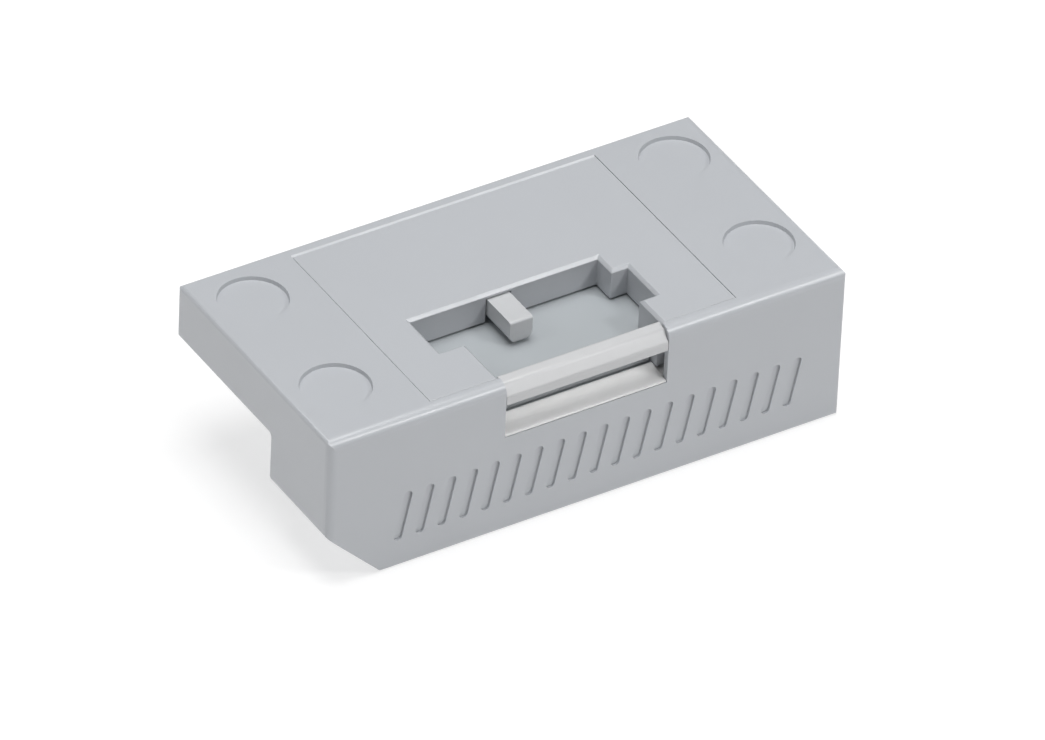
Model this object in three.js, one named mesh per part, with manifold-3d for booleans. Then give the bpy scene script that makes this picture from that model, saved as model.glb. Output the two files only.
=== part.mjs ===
// A thumb-sized coded lock block, moulded in light grey plastic, in millimetres.
//
// In section the block is an upside-down L: a wide flange on top and a leg down the front.
// A coded plate sits flush in the top of the flange, and its stepped opening is the key pocket.
// A pale bar bridges the slot in the front face and closes the pocket at the front, and a white
// sill is the floor of the slot. A flat key pushed in over the sill moves the release slide
// back, which draws the latch finger out of the pocket. Two coil springs return it. The leg
// holds two bar magnets on a steel pole plate, closed from below by the base cover.
//
// Every piece is drawn in one frame: x from the left end, y back from the front face and
// z up from the bottom of the leg. The group then centres the block on x and y.

import * as THREE from 'three';
import { mergeVertices } from 'three/addons/utils/BufferGeometryUtils.js';
import Module from 'manifold-3d';

const wasm = await Module();
wasm.setup();

// ---- Driving dimensions -------------------------------------------------------------------

const LENGTH = 25;
const DEPTH = 12.35;
const HEIGHT = 7.6;
const FLANGE_UNDERSIDE = 5.1;
const LEG_DEPTH = 4.6;
const LEG_CHAMFER = 2.75;

const TOP_FRONT_RADIUS = 0.5;
const UPRIGHT_RADIUS = 0.42; // the front upright at the chamfered end, and the chamfer's own edges
const CORNER_RADIUS = 0.2; // the other three uprights
const TOP_RIGHT_RADIUS = 0.4;
const EDGE_RADIUS = 0.22;
const ARC_STEPS = 6;

const FIT = 0.05; // gap round a piece that stays put
const SEAM = 0.02; // gap that shows as a seam in the top and front faces
const SLIDING = 0.08; // gap round a piece that moves
const PAST = 1; // how far a cutter runs past the face that it opens

const TRAVEL = 1.8;

const PLATE = { x0: 5.1, x1: 19.9, y0: 0.6, y1: 11.72, z0: 6.1 };
const REAR_CHAMFER = 0.12; // on the housing's edge behind the plate
const PEG = { radius: 0.6, xs: [6.1, 18.9], frontY: 2.4, rearY: 10.1, blindZ: 5.0 };

const POCKET = {
  x0: 8.4, x1: 16.3, back: 5.7,
  left: { x: 7.2, y: 3.3 },
  right: { x: 17.1, y0: 2.4, y1: 4.6 },
  rimChamfer: 0.14,
};

const SLOT = { x0: 8.45, x1: 16.3, sill: 5.1, head: 6.5 };
const BAR = { depth: 0.85, backTop: 7.55, browY: 0.38, browZ: 7.42, noseZ: 6.95, noseRadius: 0.22 };
const SILL = { depth: 1.2, lip: 0.2, frontTop: 4.99, backTop: 5.2, bottom: 4.4 };
const TENON = { length: 1, y0: 0.35, y1: 0.8, top: 7.05 };

const SLIDE = { x0: 6.9, x1: 17.4, y0: 1.28, y1: 6.8, z0: 5.55, z1: 6.05 };
const THRUST = { depth: 0.72, bottom: 5.18 };
const TONGUE = { x0: 10.3, x1: 12.7, y1: 7.8 };
const LUG = { half: 0.7, y0: 6.1, y1: 6.75, top: 6.95 };

const FINGER = {
  x0: 10.95, x1: 12.05, tip: 3.85, shoulder: 6.3, end: 7.7, z0: 6.14, z1: 7.3,
  bellyRadius: 0.5, noseRadius: 0.2,
};
const FINGER_PIN = { x: 11.5, y: 7, radius: 0.3, z0: 5.6, z1: 7 };

const SPRING = {
  xs: [8.3, 16], z: 6.25, y0: 6.8, y1: 10.85, radius: 0.65, wire: 0.09, turns: 7, endTurns: 1,
};

const BAY = { x0: 0.9, x1: 24.1, y0: 0.8, y1: 3.9, top: 4, mouthX: 4, mouthZ: 0.66 };
const RIB = { x: 14.05, half: 0.2 };
const POLE_PLATE = { z0: 0.71, z1: 1.25 };
const PRY_NOTCH = { width: 0.5, half: 0.8, depth: 0.35 };

const MARK = { radius: 1.53, floorRadius: 1.49, depth: 0.17, inset: 2.25, ys: [3.35, 10.05] };
const GRIP = { count: 19, x0: 3.2, pitch: 1.05, width: 0.42, height: 2.4, z: 1.4, lean: 0.5, depth: 0.11 };

// ---- Materials ----------------------------------------------------------------------------

function plastic(color, roughness = 0.55) {
  return new THREE.MeshStandardMaterial({ color, roughness, metalness: 0 });
}

function metal(color, roughness) {
  return new THREE.MeshStandardMaterial({ color, roughness, metalness: 1 });
}

const greyPlastic = plastic(0xb9bec2);
const insertPlastic = plastic(0xbac0c4);
const palePlastic = plastic(0xc8cacc);
const whitePlastic = plastic(0xe6e6e4);
const slidePlastic = plastic(0xadb2b6);
const fingerPlastic = plastic(0xc6c8cb);
const springSteel = metal(0xc9cbcf, 0.25);
const nickel = metal(0xbfc2c6, 0.22);
const rolledSteel = metal(0x9a9da1, 0.4);

// ---- Solids from three.js shapes ----------------------------------------------------------

function solid(geometry) {
  geometry.deleteAttribute('normal');
  geometry.deleteAttribute('uv');
  const welded = mergeVertices(geometry, 1e-5);
  return new wasm.Manifold(new wasm.Mesh({
    numProp: 3,
    vertProperties: welded.attributes.position.array,
    triVerts: welded.index.array,
  }));
}

function geometryOf(body) {
  const mesh = body.getMesh();
  const geometry = new THREE.BufferGeometry();
  geometry.setAttribute('position', new THREE.BufferAttribute(mesh.vertProperties, 3));
  geometry.setIndex(new THREE.BufferAttribute(mesh.triVerts, 1));
  geometry.computeVertexNormals();
  return geometry;
}

function box(x0, x1, y0, y1, z0, z1) {
  const geometry = new THREE.BoxGeometry(x1 - x0, y1 - y0, z1 - z0);
  geometry.translate((x0 + x1) / 2, (y0 + y1) / 2, (z0 + z1) / 2);
  return solid(geometry);
}

function disc(x, y, radius, z0, z1, sides = 40) {
  const geometry = new THREE.CylinderGeometry(radius, radius, z1 - z0, sides);
  geometry.rotateX(Math.PI / 2);
  geometry.translate(x, y, (z0 + z1) / 2);
  return solid(geometry);
}

// Points round one corner of an outline, which is [across, up, radius].
function cornerPoints(corner, previous, next) {
  const [across, up, radius] = corner;
  const tip = new THREE.Vector2(across, up);
  if (!radius) return [tip];
  const before = new THREE.Vector2(previous[0], previous[1]).sub(tip).normalize();
  const after = new THREE.Vector2(next[0], next[1]).sub(tip).normalize();
  const half = before.angleTo(after) / 2;
  const reach = radius / Math.tan(half);
  const centre = before.clone().add(after).setLength(radius / Math.sin(half)).add(tip);
  const start = before.clone().multiplyScalar(reach).add(tip).sub(centre);
  const end = after.clone().multiplyScalar(reach).add(tip).sub(centre);
  const inwards = before.cross(after) > 0;
  const arc = new THREE.EllipseCurve(
    centre.x, centre.y, radius, radius, start.angle(), end.angle(), inwards,
  );
  return arc.getPoints(ARC_STEPS);
}

// A prism of an outline whose corners run anticlockwise.
function prism(corners, length) {
  const last = corners.length - 1;
  const points = corners.flatMap((corner, i) => (
    cornerPoints(corner, corners[i === 0 ? last : i - 1], corners[i === last ? 0 : i + 1])
  ));
  return new THREE.ExtrudeGeometry(new THREE.Shape(points), { depth: length, bevelEnabled: false });
}

// The outline is in y and z, and runs along x.
function prismAlongX(corners, x0, x1) {
  const geometry = prism(corners, x1 - x0);
  const turn = new THREE.Matrix4().makeBasis(
    new THREE.Vector3(0, 1, 0), new THREE.Vector3(0, 0, 1), new THREE.Vector3(1, 0, 0),
  );
  geometry.applyMatrix4(turn);
  geometry.translate(x0, 0, 0);
  return solid(geometry);
}

// The outline is in x and z, and runs along y.
function prismAlongY(corners, y0, y1) {
  const geometry = prism(corners, y1 - y0);
  geometry.rotateX(Math.PI / 2);
  geometry.translate(0, y1, 0);
  return solid(geometry);
}

// The outline is in x and y, and runs along z.
function prismAlongZ(corners, z0, z1) {
  const geometry = prism(corners, z1 - z0);
  geometry.translate(0, 0, z0);
  return solid(geometry);
}

function cutAll(body, cutters) {
  return cutters.reduce((left, cutter) => left.subtract(cutter), body);
}

function joinAll(bodies) {
  return bodies.reduce((sum, body) => sum.add(body));
}

// ---- Housing ------------------------------------------------------------------------------

function housingBlock() {
  const section = [
    [0, 0, EDGE_RADIUS],
    [LEG_DEPTH, 0, EDGE_RADIUS],
    [LEG_DEPTH, FLANGE_UNDERSIDE, EDGE_RADIUS],
    [DEPTH, FLANGE_UNDERSIDE, EDGE_RADIUS],
    [DEPTH, HEIGHT, EDGE_RADIUS],
    [0, HEIGHT, TOP_FRONT_RADIUS],
  ];
  const face = [
    [LEG_CHAMFER, 0, UPRIGHT_RADIUS],
    [LENGTH, 0, EDGE_RADIUS],
    [LENGTH, HEIGHT, TOP_RIGHT_RADIUS],
    [0, HEIGHT, EDGE_RADIUS],
    [0, LEG_CHAMFER, UPRIGHT_RADIUS],
  ];
  const plan = [
    [0, 0, UPRIGHT_RADIUS],
    [LENGTH, 0, CORNER_RADIUS],
    [LENGTH, DEPTH, CORNER_RADIUS],
    [0, DEPTH, CORNER_RADIUS],
  ];
  return prismAlongX(section, -PAST, LENGTH + PAST)
    .intersect(prismAlongY(face, -PAST, DEPTH + PAST))
    .intersect(prismAlongZ(plan, -PAST, HEIGHT + PAST));
}

function plateRecess() {
  const section = [
    [PLATE.y0, PLATE.z0, 0],
    [PLATE.y1, PLATE.z0, 0],
    [PLATE.y1, HEIGHT - REAR_CHAMFER, 0],
    [PLATE.y1 + REAR_CHAMFER, HEIGHT, 0],
    [PLATE.y1 + REAR_CHAMFER, HEIGHT + PAST, 0],
    [PLATE.y0, HEIGHT + PAST, 0],
  ];
  const recess = prismAlongX(section, PLATE.x0, PLATE.x1);
  const hole = PEG.radius + FIT;
  const blind = PEG.xs.map((x) => disc(x, PEG.frontY, hole, PEG.blindZ - FIT, PLATE.z0 + FIT));
  const through = PEG.xs.map((x) => disc(x, PEG.rearY, hole, FLANGE_UNDERSIDE - PAST, PLATE.z0 + FIT));
  return [recess, ...blind, ...through];
}

// The window in the front wall, and behind it the mortise that the bar and the sill are let into.
function slotOpening() {
  const x0 = SLOT.x0 - TENON.length;
  const x1 = SLOT.x1 + TENON.length;
  const front = TENON.y0 - FIT;
  const bottom = SILL.bottom - FIT;
  return [
    box(SLOT.x0, SLOT.x1, -PAST, PLATE.y0 + FIT, SLOT.sill - SILL.lip - SEAM, HEIGHT + PAST),
    box(x0, x1, front, TENON.y1 + FIT, bottom, TENON.top + FIT),
    box(x0, x1, front, SILL.depth + FIT, bottom, SLOT.sill + FIT),
    box(SLOT.x0, SLOT.x1, TENON.y0, SILL.depth + FIT, SLOT.sill, PLATE.z0 + FIT),
  ];
}

function slideChannel() {
  const floor = SLIDE.z0 - SLIDING;
  const roof = PLATE.z0 + FIT;
  const thrustEnd = SLIDE.y0 + THRUST.depth + TRAVEL + SLIDING;
  const plateEnd = SLIDE.y1 + TRAVEL + SLIDING;
  const tongueEnd = TONGUE.y1 + TRAVEL + SLIDING;
  const springRuns = SPRING.xs.map((x) => (
    box(x - LUG.half - SLIDING, x + LUG.half + SLIDING, plateEnd - FIT, SPRING.y1 + FIT, floor, roof)
  ));
  return [
    box(SLIDE.x0 - SLIDING, SLIDE.x1 + SLIDING, SILL.depth, plateEnd, floor, roof),
    box(SLOT.x0, SLOT.x1, SILL.depth, thrustEnd, THRUST.bottom - SLIDING, roof),
    box(TONGUE.x0 - SLIDING, TONGUE.x1 + SLIDING, plateEnd - FIT, tongueEnd, floor, roof),
    ...springRuns,
  ];
}

function magnetBay() {
  const outline = [
    [BAY.mouthX, -PAST, 0],
    [BAY.x1, -PAST, 0],
    [BAY.x1, BAY.top, 0],
    [BAY.x0, BAY.top, 0],
    [BAY.x0, BAY.mouthZ + BAY.mouthX - BAY.x0, 0],
    [BAY.mouthX, BAY.mouthZ, 0],
  ];
  const bay = prismAlongY(outline, BAY.y0, BAY.y1);
  const rib = box(RIB.x - RIB.half, RIB.x + RIB.half, 0, LEG_DEPTH, POLE_PLATE.z1 + FIT, BAY.top + PAST);
  return bay.subtract(rib);
}

// Round marks in the four corners of the top, each a flat floor with steep sides.
function ejectorMark(x, y) {
  const profile = [
    new THREE.Vector2(0, -MARK.depth),
    new THREE.Vector2(MARK.floorRadius, -MARK.depth),
    new THREE.Vector2(MARK.radius, 0),
    new THREE.Vector2(MARK.radius, PAST),
    new THREE.Vector2(0, PAST),
  ];
  const geometry = new THREE.LatheGeometry(profile, 40);
  geometry.rotateX(Math.PI / 2);
  geometry.translate(x, y, HEIGHT);
  return solid(geometry);
}

function ejectorMarks() {
  const xs = [MARK.inset, LENGTH - MARK.inset];
  return xs.flatMap((x) => MARK.ys.map((y) => ejectorMark(x, y)));
}

// A row of plain slanted grooves across the front of the leg, to grip by.
function gripGrooves() {
  const { x0, pitch, width, height, z, lean, depth } = GRIP;
  const end = width * 0.45;
  return Array.from({ length: GRIP.count }, (_, i) => {
    const left = x0 + i * pitch;
    const groove = [
      [left, z, end],
      [left + width, z, end],
      [left + width + lean, z + height, end],
      [left + lean, z + height, end],
    ];
    return prismAlongY(groove, -PAST, depth);
  });
}

function housing() {
  return cutAll(housingBlock(), [
    ...plateRecess(),
    ...slotOpening(),
    ...slideChannel(),
    magnetBay(),
    ...ejectorMarks(),
    ...gripGrooves(),
  ]);
}

// ---- Pieces in the top of the block ---------------------------------------------------------

// The stepped opening through the plate, with a chamfer round its rim. The slot bar closes
// its front.
function codePocket() {
  const { x0, x1, back, left, right, rimChamfer } = POCKET;
  const front = PLATE.y0 - PAST;
  const outline = [
    [x0, front], [x1, front], [x1, right.y0], [right.x, right.y0], [right.x, right.y1],
    [x1, right.y1], [x1, back], [left.x, back], [left.x, left.y], [x0, left.y],
  ];
  const shape = new THREE.Shape(outline.map(([x, y]) => new THREE.Vector2(x, y)));
  const rim = new THREE.ExtrudeGeometry(shape, {
    depth: PAST, bevelSegments: 1, bevelSize: rimChamfer, bevelThickness: rimChamfer,
  });
  rim.translate(0, 0, HEIGHT);
  const opening = prismAlongZ(outline.map(([x, y]) => [x, y, 0]), PLATE.z0 - PAST, HEIGHT + PAST);
  return [opening, solid(rim)];
}

function codePlate() {
  const pegs = PEG.xs.flatMap((x) => [
    disc(x, PEG.frontY, PEG.radius, PEG.blindZ, PLATE.z0 + 2 * FIT),
    disc(x, PEG.rearY, PEG.radius, FLANGE_UNDERSIDE + FIT, PLATE.z0 + 2 * FIT),
  ]);
  const plate = box(
    PLATE.x0 + SEAM, PLATE.x1 - SEAM, PLATE.y0 + SEAM, PLATE.y1 - SEAM, PLATE.z0 + FIT, HEIGHT,
  );
  const grooveHalf = LUG.half + SLIDING;
  const springGrooves = SPRING.xs.map((x) => (
    box(x - grooveHalf, x + grooveHalf, LUG.y0 - SLIDING, SPRING.y1 + FIT, 0, LUG.top + SLIDING)
  ));
  const fingerGroove = box(
    FINGER.x0 - FIT, FINGER.x1 + FIT,
    POCKET.back - PAST, FINGER.end + TRAVEL + SLIDING, 0, FINGER.z1 + FIT,
  );
  const tenonRelief = box(
    SLOT.x0 - TENON.length, SLOT.x1 + TENON.length, 0, TENON.y1 + FIT, 0, TENON.top + FIT,
  );
  const cutPlate = cutAll(plate, [...codePocket(), ...springGrooves, fingerGroove, tenonRelief]);
  return joinAll([cutPlate, ...pegs]);
}

// The bar's top falls gently to a brow and then steeply to its nose, above an upright face.
function slotBar() {
  const section = [
    [0, SLOT.head, 0.1],
    [BAR.depth, SLOT.head, 0],
    [BAR.depth, BAR.backTop, 0.08],
    [BAR.browY, BAR.browZ, 0.3],
    [0, BAR.noseZ, BAR.noseRadius],
  ];
  const bar = prismAlongX(section, SLOT.x0 + SEAM, SLOT.x1 - SEAM);
  const tenons = box(
    SLOT.x0 - TENON.length + FIT, SLOT.x1 + TENON.length - FIT,
    TENON.y0, TENON.y1, SLOT.head, TENON.top,
  );
  return bar.add(tenons);
}

// The sill rises a little towards the back, to lead a key up to the slide.
function slotSill() {
  const section = [
    [0, SLOT.sill - SILL.lip, 0],
    [SILL.depth, SLOT.sill - SILL.lip, 0],
    [SILL.depth, SILL.backTop, 0.05],
    [0, SILL.frontTop, 0.05],
  ];
  const ramp = prismAlongX(section, SLOT.x0 + SEAM, SLOT.x1 - SEAM);
  const body = box(
    SLOT.x0 - TENON.length + FIT, SLOT.x1 + TENON.length - FIT,
    TENON.y0, SILL.depth, SILL.bottom, SLOT.sill - 0.1,
  );
  return ramp.add(body);
}

// ---- Moving pieces --------------------------------------------------------------------------

function releaseSlide() {
  const lugs = SPRING.xs.map((x) => (
    box(x - LUG.half, x + LUG.half, LUG.y0, LUG.y1, SLIDE.z0, LUG.top)
  ));
  const body = joinAll([
    box(SLIDE.x0, SLIDE.x1, SLIDE.y0, SLIDE.y1, SLIDE.z0, SLIDE.z1),
    box(
      SLOT.x0 + SLIDING, SLOT.x1 - SLIDING,
      SLIDE.y0, SLIDE.y0 + THRUST.depth, THRUST.bottom, SLIDE.z1,
    ),
    box(TONGUE.x0, TONGUE.x1, SLIDE.y1 - FIT, TONGUE.y1, SLIDE.z0, SLIDE.z1),
    ...lugs,
  ]);
  return body.subtract(disc(FINGER_PIN.x, FINGER_PIN.y, FINGER_PIN.radius + FIT, 0, HEIGHT, 24));
}

// A flat-topped finger with a rounded belly, on a square foot that stands on the slide.
function latchFinger() {
  const { x0, x1, tip, shoulder, end, z0, z1, bellyRadius, noseRadius } = FINGER;
  const belly = [
    [x0, z0, bellyRadius],
    [x1, z0, bellyRadius],
    [x1, z1, 0],
    [x0, z1, 0],
  ];
  const profile = [
    [tip, z0, noseRadius],
    [end, z0, 0],
    [end, z1, 0.1],
    [tip, z1, 0.14],
  ];
  const nose = prismAlongY(belly, tip, end).intersect(prismAlongX(profile, x0, x1));
  const foot = box(x0, x1, shoulder, end, SLIDE.z1 + FIT, z1 - bellyRadius);
  const pinHole = disc(FINGER_PIN.x, FINGER_PIN.y, FINGER_PIN.radius + FIT, 0, FINGER_PIN.z1 + FIT, 24);
  return nose.add(foot).subtract(pinHole);
}

function fingerPin() {
  return disc(FINGER_PIN.x, FINGER_PIN.y, FINGER_PIN.radius, FINGER_PIN.z0, FINGER_PIN.z1, 24);
}

// The centre line of a coil spring's wire along y, with closed turns at both ends.
class CoilCurve extends THREE.Curve {
  constructor(x) {
    super();
    this.x = x;
  }

  getPoint(t, target = new THREE.Vector3()) {
    const { y0, y1, z, radius, wire, turns, endTurns } = SPRING;
    const turn = t * turns;
    const closed = 2 * wire;
    const first = y0 + wire + FIT;
    const last = y1 - wire - FIT;
    const open = (last - first - 2 * closed * endTurns) / (turns - 2 * endTurns);
    const lead = Math.min(turn, endTurns) + Math.max(turn - turns + endTurns, 0);
    const along = first + lead * closed + (turn - lead) * open;
    const angle = turn * 2 * Math.PI;
    const across = radius - wire;
    return target.set(this.x + across * Math.cos(angle), along, z + across * Math.sin(angle));
  }
}

function returnSpring(x) {
  const section = new THREE.Shape(new THREE.Path().absarc(0, 0, SPRING.wire, 0, 2 * Math.PI).getPoints(3));
  return solid(new THREE.ExtrudeGeometry(section, {
    steps: SPRING.turns * 13,
    extrudePath: new CoilCurve(x),
  }));
}

// ---- Pieces in the leg ----------------------------------------------------------------------

function magnet(x0, x1) {
  const edge = 0.2;
  const outline = [
    [x0, BAY.y0 + 2 * FIT, edge],
    [x1, BAY.y0 + 2 * FIT, edge],
    [x1, BAY.y1 - 2 * FIT, edge],
    [x0, BAY.y1 - 2 * FIT, edge],
  ];
  return prismAlongZ(outline, POLE_PLATE.z1 + FIT, BAY.top - 2 * FIT);
}

function polePlate() {
  return box(
    BAY.mouthX + 2 * FIT, BAY.x1 - 2 * FIT, BAY.y0 + 2 * FIT, BAY.y1 - 2 * FIT,
    POLE_PLATE.z0, POLE_PLATE.z1,
  );
}

function baseCover() {
  const y0 = BAY.y0 + FIT;
  const y1 = BAY.y1 - FIT;
  const x1 = BAY.x1 - FIT;
  const middle = (y0 + y1) / 2;
  const cover = box(BAY.mouthX + FIT, x1, y0, y1, 0, BAY.mouthZ);
  const notch = box(
    x1 - PRY_NOTCH.width, x1 + PAST,
    middle - PRY_NOTCH.half, middle + PRY_NOTCH.half, -PAST, PRY_NOTCH.depth,
  );
  return cover.subtract(notch);
}

// ---- Assembly -------------------------------------------------------------------------------

const lockBlock = new THREE.Group();
lockBlock.position.set(-LENGTH / 2, -DEPTH / 2, 0);

function addPiece(name, body, material) {
  const piece = new THREE.Mesh(geometryOf(body), material);
  piece.name = name;
  lockBlock.add(piece);
}

addPiece('housing', housing(), greyPlastic);
addPiece('code_plate', codePlate(), insertPlastic);
addPiece('slot_bar', slotBar(), palePlastic);
addPiece('slot_sill', slotSill(), whitePlastic);
addPiece('release_slide', releaseSlide(), slidePlastic);
addPiece('latch_finger', latchFinger(), fingerPlastic);
addPiece('finger_pin', fingerPin(), springSteel);
addPiece('return_spring_left', returnSpring(SPRING.xs[0]), springSteel);
addPiece('return_spring_right', returnSpring(SPRING.xs[1]), springSteel);
addPiece('magnet_left', magnet(BAY.mouthX + 2 * FIT, RIB.x - RIB.half - FIT), nickel);
addPiece('magnet_right', magnet(RIB.x + RIB.half + FIT, BAY.x1 - 2 * FIT), nickel);
addPiece('pole_plate', polePlate(), rolledSteel);
addPiece('base_cover', baseCover(), greyPlastic);

export default lockBlock;
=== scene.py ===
import math

import bpy
from mathutils import Matrix, Vector


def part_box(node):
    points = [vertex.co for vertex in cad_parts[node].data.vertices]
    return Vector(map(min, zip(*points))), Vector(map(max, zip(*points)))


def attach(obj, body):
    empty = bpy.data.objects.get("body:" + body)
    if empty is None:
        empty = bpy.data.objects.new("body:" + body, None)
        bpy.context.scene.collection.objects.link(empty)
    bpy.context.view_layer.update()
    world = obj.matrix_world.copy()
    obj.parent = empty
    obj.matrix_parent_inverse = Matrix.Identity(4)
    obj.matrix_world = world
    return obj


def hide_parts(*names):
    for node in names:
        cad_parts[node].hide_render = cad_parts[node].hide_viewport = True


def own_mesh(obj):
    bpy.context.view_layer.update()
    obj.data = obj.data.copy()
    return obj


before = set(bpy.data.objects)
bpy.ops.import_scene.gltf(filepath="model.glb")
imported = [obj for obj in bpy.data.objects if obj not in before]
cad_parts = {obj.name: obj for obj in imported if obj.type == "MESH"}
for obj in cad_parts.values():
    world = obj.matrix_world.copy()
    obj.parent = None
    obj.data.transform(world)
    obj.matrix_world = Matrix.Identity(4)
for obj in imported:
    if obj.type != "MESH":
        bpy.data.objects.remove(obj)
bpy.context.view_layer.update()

MM = 0.001

# The camera stands off the chamfered end and looks down on the block, almost without perspective.
CAMERA_AZIMUTH = -32.99
CAMERA_ELEVATION = 37.54
CAMERA_ROLL = 2.78
CAMERA_TARGET = Vector((0.196, -0.718, 3.155)) * MM
CAMERA_DISTANCE = 0.5826
CAMERA_LENS = 482.3


# ---- Materials ------------------------------------------------------------------------------

class Nodes:
    """Short ways to add and link shader nodes in one material."""

    def __init__(self, name):
        self.material = bpy.data.materials.new(name)
        self.material.use_nodes = True
        self.tree = self.material.node_tree
        self.shader = self.tree.nodes["Principled BSDF"]

    def add(self, kind, settings=None, **inputs):
        node = self.tree.nodes.new("ShaderNode" + kind)
        for key, value in (settings or {}).items():
            setattr(node, key, value)
        for key, value in inputs.items():
            self.plug(node, key.replace("_", " "), value)
        return node

    def plug(self, node, socket, value):
        if isinstance(value, bpy.types.NodeSocket):
            self.tree.links.new(value, node.inputs[socket])
        else:
            node.inputs[socket].default_value = value

    def surface(self, socket, value):
        """Sets or links one input of the material's own shader."""
        self.plug(self.shader, socket, value)

    def noise(self, scale, detail=3.0):
        place = self.add("TexCoord").outputs["Object"]
        return self.add("TexNoise", Vector=place, Scale=scale, Detail=detail).outputs["Fac"]

    def spread(self, factor, low, high):
        """Stretches a value from 0 to 1 so that it runs from low to high."""
        return self.add("MapRange", Value=factor, To_Min=low, To_Max=high).outputs["Result"]

    def painted_shade_along_y(self, start, end):
        """A ramp for painted shade: nothing before the first y and full from the second."""
        place = self.add("SeparateXYZ", Vector=self.add("TexCoord").outputs["Object"])
        eased = {"interpolation_type": "SMOOTHSTEP"}
        painted_shade = self.add("MapRange", eased, Value=place.outputs["Y"], From_Min=start, From_Max=end)
        return painted_shade.outputs["Result"]

    def mix(self, factor, first, second):
        """Blends two colours. The sockets of a Mix node share names, so these go by number."""
        node = self.add("Mix", {"data_type": "RGBA"})
        self.plug(node, 0, factor)
        self.plug(node, 6, first)
        self.plug(node, 7, second)
        return node.outputs[2]

    def mottle(self, colour, tones, scale, detail=3.0):
        """A colour that wanders between a darker and a lighter tone of itself."""
        return self.mix(self.noise(scale, detail), shade(colour, tones[0]), shade(colour, tones[1]))

    def bump(self, height, distance, strength, normal=None):
        node = self.add("Bump", Height=height, Distance=distance, Strength=strength)
        if normal is not None:
            self.plug(node, "Normal", normal)
        return node.outputs["Normal"]


# Noise scales are per metre of object space.
FLOW_SCALE = 130.0
FLOW_TONES = (0.975, 1.02)
GLOSS_SCALE = 900.0
GLOSS_SPREAD = (-0.05, 0.07)  # added to the roughness
GRAIN_SCALE = 9000.0
GRAIN_HEIGHT = 0.004 * MM
GRAIN_STRENGTH = 0.5
RIPPLE_SCALE = 260.0
RIPPLE_HEIGHT = 0.02 * MM
RIPPLE_STRENGTH = 0.35
PLASTIC_IOR = 1.58
PLASTIC_SCATTER = (0.5, 0.5, 0.5)  # the same for red, green and blue

METAL_TONE_SCALE = 600.0
METAL_TONES = (0.93, 1.04)
METAL_GLOSS_SCALE = 2500.0
METAL_GLOSS_SHARES = (0.8, 1.3)  # of the metal's roughness
METAL_GRAIN_HEIGHT = 0.003 * MM
METAL_GRAIN_STRENGTH = 0.5

# Painted shade: the sill's colour turns greyer between these two y, towards the back, to even out
# the light that falls on its rear through the gap behind the bar.
SILL_PAINTED_SHADE_SPAN = (-5.75 * MM, -5.3 * MM)
SILL_PAINTED_SHADE_TONE = 0.80


def shade(colour, factor):
    return (colour[0] * factor, colour[1] * factor, colour[2] * factor, 1.0)


def moulded_plastic(name, colour, roughness=0.32, translucence=0.12, reach=0.35, painted_shade=None):
    """Satin moulded plastic: a fine spark-eroded grain, slow flow marks and a little depth.

    The reach is how far light travels under the surface, in mm. An optional span of y paints shade:
    the colour greys towards the back across it.
    """
    nodes = Nodes(name)
    tone = nodes.mottle(colour, FLOW_TONES, FLOW_SCALE, detail=2.0)
    # Painted shade: a greyer tone towards the back along y, when a span is given.
    if painted_shade:
        tone = nodes.mix(nodes.painted_shade_along_y(*painted_shade), tone, shade(colour, SILL_PAINTED_SHADE_TONE))
    nodes.surface("Base Color", tone)
    smoother, rougher = (roughness + change for change in GLOSS_SPREAD)
    nodes.surface("Roughness", nodes.spread(nodes.noise(GLOSS_SCALE), smoother, rougher))
    grain = nodes.bump(nodes.noise(GRAIN_SCALE, detail=2.0), GRAIN_HEIGHT, GRAIN_STRENGTH)
    ripple = nodes.noise(RIPPLE_SCALE, detail=1.0)
    nodes.surface("Normal", nodes.bump(ripple, RIPPLE_HEIGHT, RIPPLE_STRENGTH, grain))
    nodes.surface("IOR", PLASTIC_IOR)
    nodes.surface("Subsurface Weight", translucence)
    nodes.surface("Subsurface Radius", PLASTIC_SCATTER)
    nodes.surface("Subsurface Scale", reach * MM)
    return nodes.material


def steel(name, colour, roughness, grain_scale):
    """Bright metal with a fine grain."""
    nodes = Nodes(name)
    nodes.surface("Metallic", 1.0)
    nodes.surface("Base Color", nodes.mottle(colour, METAL_TONES, METAL_TONE_SCALE))
    smoother, rougher = (roughness * share for share in METAL_GLOSS_SHARES)
    nodes.surface("Roughness", nodes.spread(nodes.noise(METAL_GLOSS_SCALE), smoother, rougher))
    grain = nodes.bump(nodes.noise(grain_scale), METAL_GRAIN_HEIGHT, METAL_GRAIN_STRENGTH)
    nodes.surface("Normal", grain)
    return nodes.material


# Base colours, linear.
HOUSING_GREY = (0.443, 0.459, 0.483)
PLATE_GREY = (0.448, 0.464, 0.488)
BAR_GREY = (0.508, 0.513, 0.521)
SILL_WHITE = (0.95, 0.95, 0.942)
SLIDE_GREY = (0.375, 0.40, 0.417)
FINGER_GREY = (0.505, 0.515, 0.527)
PIN_STEEL = (0.62, 0.63, 0.65)
NICKEL = (0.60, 0.60, 0.58)
POLE_STEEL = (0.38, 0.39, 0.41)
SPRING_STEEL = (0.58, 0.59, 0.61)

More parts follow.
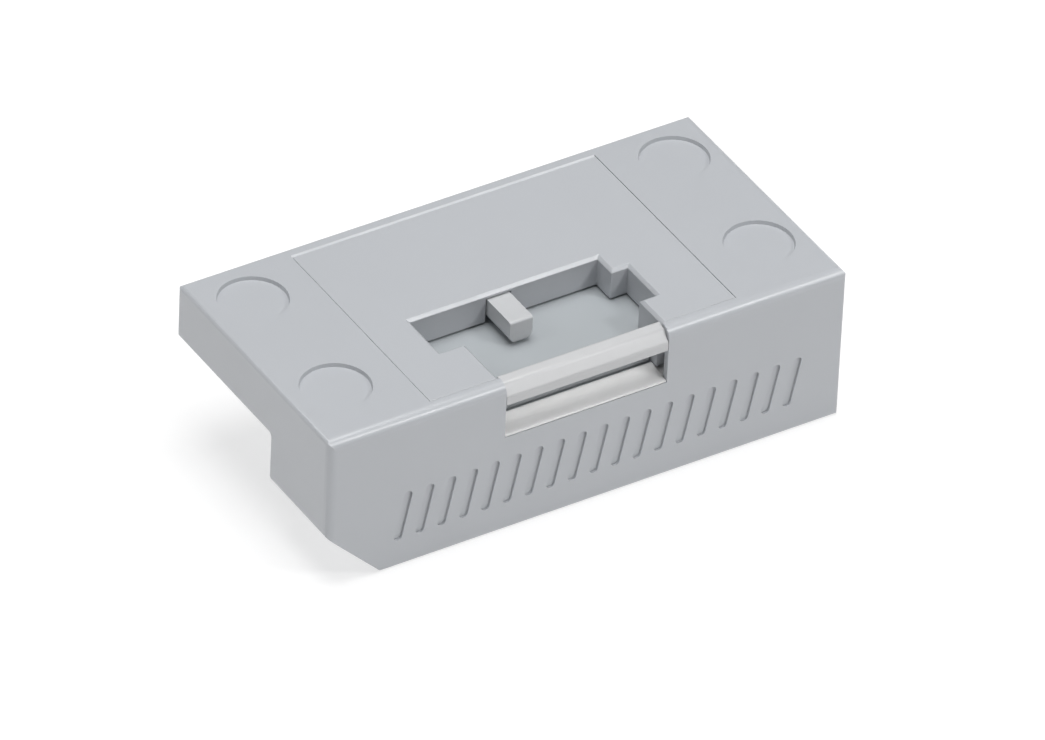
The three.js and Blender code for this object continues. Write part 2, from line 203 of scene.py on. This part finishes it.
MATERIALS = {
    "housing": moulded_plastic("housing_plastic", HOUSING_GREY),
    "base_cover": moulded_plastic("base_cover_plastic", HOUSING_GREY),
    "code_plate": moulded_plastic("code_plate_plastic", PLATE_GREY),
    "slot_bar": moulded_plastic("slot_bar_plastic", BAR_GREY),
    # The sill's colour carries painted shade that greys it towards its back.
    "slot_sill": moulded_plastic(
        "slot_sill_plastic", SILL_WHITE, translucence=0.6, reach=1.2, painted_shade=SILL_PAINTED_SHADE_SPAN,
    ),
    "release_slide": moulded_plastic("slide_plastic", SLIDE_GREY),
    "latch_finger": moulded_plastic("finger_plastic", FINGER_GREY, roughness=0.38),
    "finger_pin": steel("pin_steel", PIN_STEEL, roughness=0.22, grain_scale=6000.0),
    "magnet_left": steel("magnet_nickel", NICKEL, roughness=0.25, grain_scale=3000.0),
    "pole_plate": steel("pole_steel", POLE_STEEL, roughness=0.4, grain_scale=1500.0),
    "spring": steel("spring_steel", SPRING_STEEL, roughness=0.25, grain_scale=8000.0),
}
MATERIALS["magnet_right"] = MATERIALS["magnet_left"]


def paint(piece, material):
    piece.data.materials.clear()
    piece.data.materials.append(material)


def shade_smooth(mesh):
    for polygon in mesh.polygons:
        polygon.use_smooth = True


def add_object(name, data):
    """Puts a new object that shows the data into the scene."""
    added = bpy.data.objects.new(name, data)
    bpy.context.collection.objects.link(added)
    return added


# ---- Carried-over CAD nodes -----------------------------------------------------------------

# Width of the bevel on each node's cut edges, mm.
EDGE_ROUND = {
    "housing": 0.05, "code_plate": 0.08, "slot_bar": 0.06, "slot_sill": 0.06,
    "release_slide": 0.06, "latch_finger": 0.1, "finger_pin": 0.06, "magnet_left": 0.1,
    "magnet_right": 0.1, "pole_plate": 0.05, "base_cover": 0.07,
}

WELD_REACH = 0.0005 * MM
FLAT_ANGLE = math.radians(0.5)
SHARP_ANGLE = math.radians(35)


def soften_edges(piece, width):
    """Rounds the cut edges of a CAD node with modifiers, so that its own vertices stay put."""
    weld = piece.modifiers.new("weld", "WELD")
    weld.merge_threshold = WELD_REACH
    flat = piece.modifiers.new("flat_faces", "DECIMATE")
    flat.decimate_type = "DISSOLVE"
    flat.angle_limit = FLAT_ANGLE
    bevel = piece.modifiers.new("edge_round", "BEVEL")
    bevel.width = width
    bevel.segments = 3
    bevel.limit_method = "ANGLE"
    bevel.angle_limit = SHARP_ANGLE
    bevel.miter_outer = "MITER_ARC"
    shade_smooth(piece.data)
    weighted = piece.modifiers.new("even_shading", "WEIGHTED_NORMAL")
    weighted.keep_sharp = True


for node_name, width in EDGE_ROUND.items():
    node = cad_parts[node_name]
    paint(node, MATERIALS[node_name])
    soften_edges(node, width * MM)


# ---- Return springs -------------------------------------------------------------------------

SPRING_WIRE = 0.09  # radius of the wire, mm
SPRING_TURNS = 9
SPRING_STEPS = 28  # points to a turn
SPRING_SIDES = 10  # sides of the wire
END_TURN_PULL = 0.027  # most that a turn shifts to the nearer end, as a share of the length
WIRE_INSET = 1.05  # from the side of the CAD spring to the middle of the wire, in wire radii


def coil_points(centre_x, centre_z, y0, y1, radius):
    """The centre line of the wire, with the turns closer together towards both ends."""
    steps = SPRING_TURNS * SPRING_STEPS
    points = []
    for i in range(steps + 1):
        share = i / steps
        along = y0 + (y1 - y0) * (share - END_TURN_PULL * math.sin(2 * math.pi * share))
        angle = 2 * math.pi * SPRING_TURNS * share
        offset = Vector((math.cos(angle), 0, math.sin(angle))) * radius
        points.append(Vector((centre_x, along, centre_z)) + offset)
    return points


def tube_along(points, axis_x, axis_z, radius):
    """Vertices and faces of a round wire swept along the points of a coil."""
    vertices, faces = [], []
    forward = Vector((0, 1, 0))
    for point in points:
        outward = Vector((point.x - axis_x, 0, point.z - axis_z)).normalized()
        for side in range(SPRING_SIDES):
            angle = 2 * math.pi * side / SPRING_SIDES
            offset = outward * math.cos(angle) + forward * math.sin(angle)
            vertices.append(point + offset * radius)
    for ring in range(len(points) - 1):
        for side in range(SPRING_SIDES):
            here = ring * SPRING_SIDES + side
            beside = ring * SPRING_SIDES + (side + 1) % SPRING_SIDES
            faces.append((here, beside, beside + SPRING_SIDES, here + SPRING_SIDES))
    last = (len(points) - 1) * SPRING_SIDES
    faces.append(tuple(range(SPRING_SIDES - 1, -1, -1)))
    faces.append(tuple(range(last, last + SPRING_SIDES)))
    return vertices, faces


def make_spring(node_name):
    low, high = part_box(node_name)
    middle = (low + high) / 2
    wire = SPRING_WIRE * MM
    radius = (high.x - low.x) / 2 - wire * WIRE_INSET
    points = coil_points(middle.x, middle.z, low.y + wire, high.y - wire, radius)
    vertices, faces = tube_along(points, middle.x, middle.z, wire)
    mesh = bpy.data.meshes.new(node_name + "_coil")
    mesh.from_pydata(vertices, [], faces)
    shade_smooth(mesh)
    spring = add_object(node_name + "_coil", mesh)
    paint(spring, MATERIALS["spring"])
    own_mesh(spring)
    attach(spring, "block")
    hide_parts(node_name)


for node_name in ("return_spring_left", "return_spring_right"):
    make_spring(node_name)
    paint(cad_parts[node_name], MATERIALS["spring"])


# ---- Stage ----------------------------------------------------------------------------------

FLOOR_HALF = 4.0  # m
FLOOR_TONES = (0.40, 0.42)
FLOOR_TONE_SCALE = 3.0
FLOOR_ROUGHNESS = 0.8
FLOOR_GLOW = 0.62  # even light from the white table under the block
LIGHT_DISTANCE = 0.4  # m
WORLD_STRENGTH = 0.15
WHITE = (1.0, 1.0, 1.0, 1.0)


def make_floor():
    half = FLOOR_HALF
    corners = [(-half, -half, 0), (half, -half, 0), (half, half, 0), (-half, half, 0)]
    mesh = bpy.data.meshes.new("floor")
    mesh.from_pydata(corners, [], [(0, 1, 2, 3)])
    floor = add_object("floor", mesh)
    nodes = Nodes("floor_white")
    nodes.surface("Base Color", nodes.mottle(WHITE, FLOOR_TONES, FLOOR_TONE_SCALE))
    nodes.surface("Roughness", FLOOR_ROUGHNESS)
    nodes.surface("Emission Strength", FLOOR_GLOW)
    nodes.surface("Emission Color", WHITE)
    paint(floor, nodes.material)


def add_softbox(name, azimuth, elevation, size, power):
    """A round soft light that faces the block, its size in metres and its power in watts.

    Azimuth 0 is in front and 90 at the right end.
    """
    level = math.cos(math.radians(elevation)) * LIGHT_DISTANCE
    side = math.sin(math.radians(azimuth)) * level
    front = -math.cos(math.radians(azimuth)) * level
    height = math.sin(math.radians(elevation)) * LIGHT_DISTANCE
    position = Vector((side, front, height))
    light = bpy.data.lights.new(name, "AREA")
    light.shape = "DISK"
    light.size = size
    light.energy = power
    lamp = add_object(name, light)
    lamp.location = position
    lamp.rotation_euler = position.to_track_quat("Z", "Y").to_euler()


def make_lights():
    add_softbox("overhead_softbox", azimuth=0, elevation=90, size=0.30, power=1.35)
    add_softbox("front_right_key", azimuth=35, elevation=42, size=0.09, power=0.45)
    add_softbox("left_fill", azimuth=-95, elevation=45, size=0.15, power=0.17)
    add_softbox("back_fill", azimuth=180, elevation=60, size=0.25, power=0.1)
    world = bpy.data.worlds.new("studio")
    bpy.context.scene.world = world
    world.use_nodes = True
    background = world.node_tree.nodes["Background"]
    background.inputs["Color"].default_value = WHITE
    background.inputs["Strength"].default_value = WORLD_STRENGTH


def make_camera():
    azimuth = math.radians(CAMERA_AZIMUTH)
    elevation = math.radians(CAMERA_ELEVATION)
    level = math.cos(elevation)
    back = Vector((math.sin(azimuth) * level, -math.cos(azimuth) * level, math.sin(elevation)))
    turn = back.to_track_quat("Z", "Y").to_matrix()
    turn = turn @ Matrix.Rotation(math.radians(CAMERA_ROLL), 3, "Z")
    data = bpy.data.cameras.new("camera")
    data.lens = CAMERA_LENS
    data.clip_start = 0.01
    data.clip_end = 20.0
    camera = add_object("camera", data)
    camera.matrix_world = Matrix.Translation(CAMERA_TARGET + back * CAMERA_DISTANCE) @ turn.to_4x4()
    bpy.context.scene.camera = camera


make_floor()
make_lights()
make_camera()
bpy.context.scene.view_settings.view_transform = "Standard"
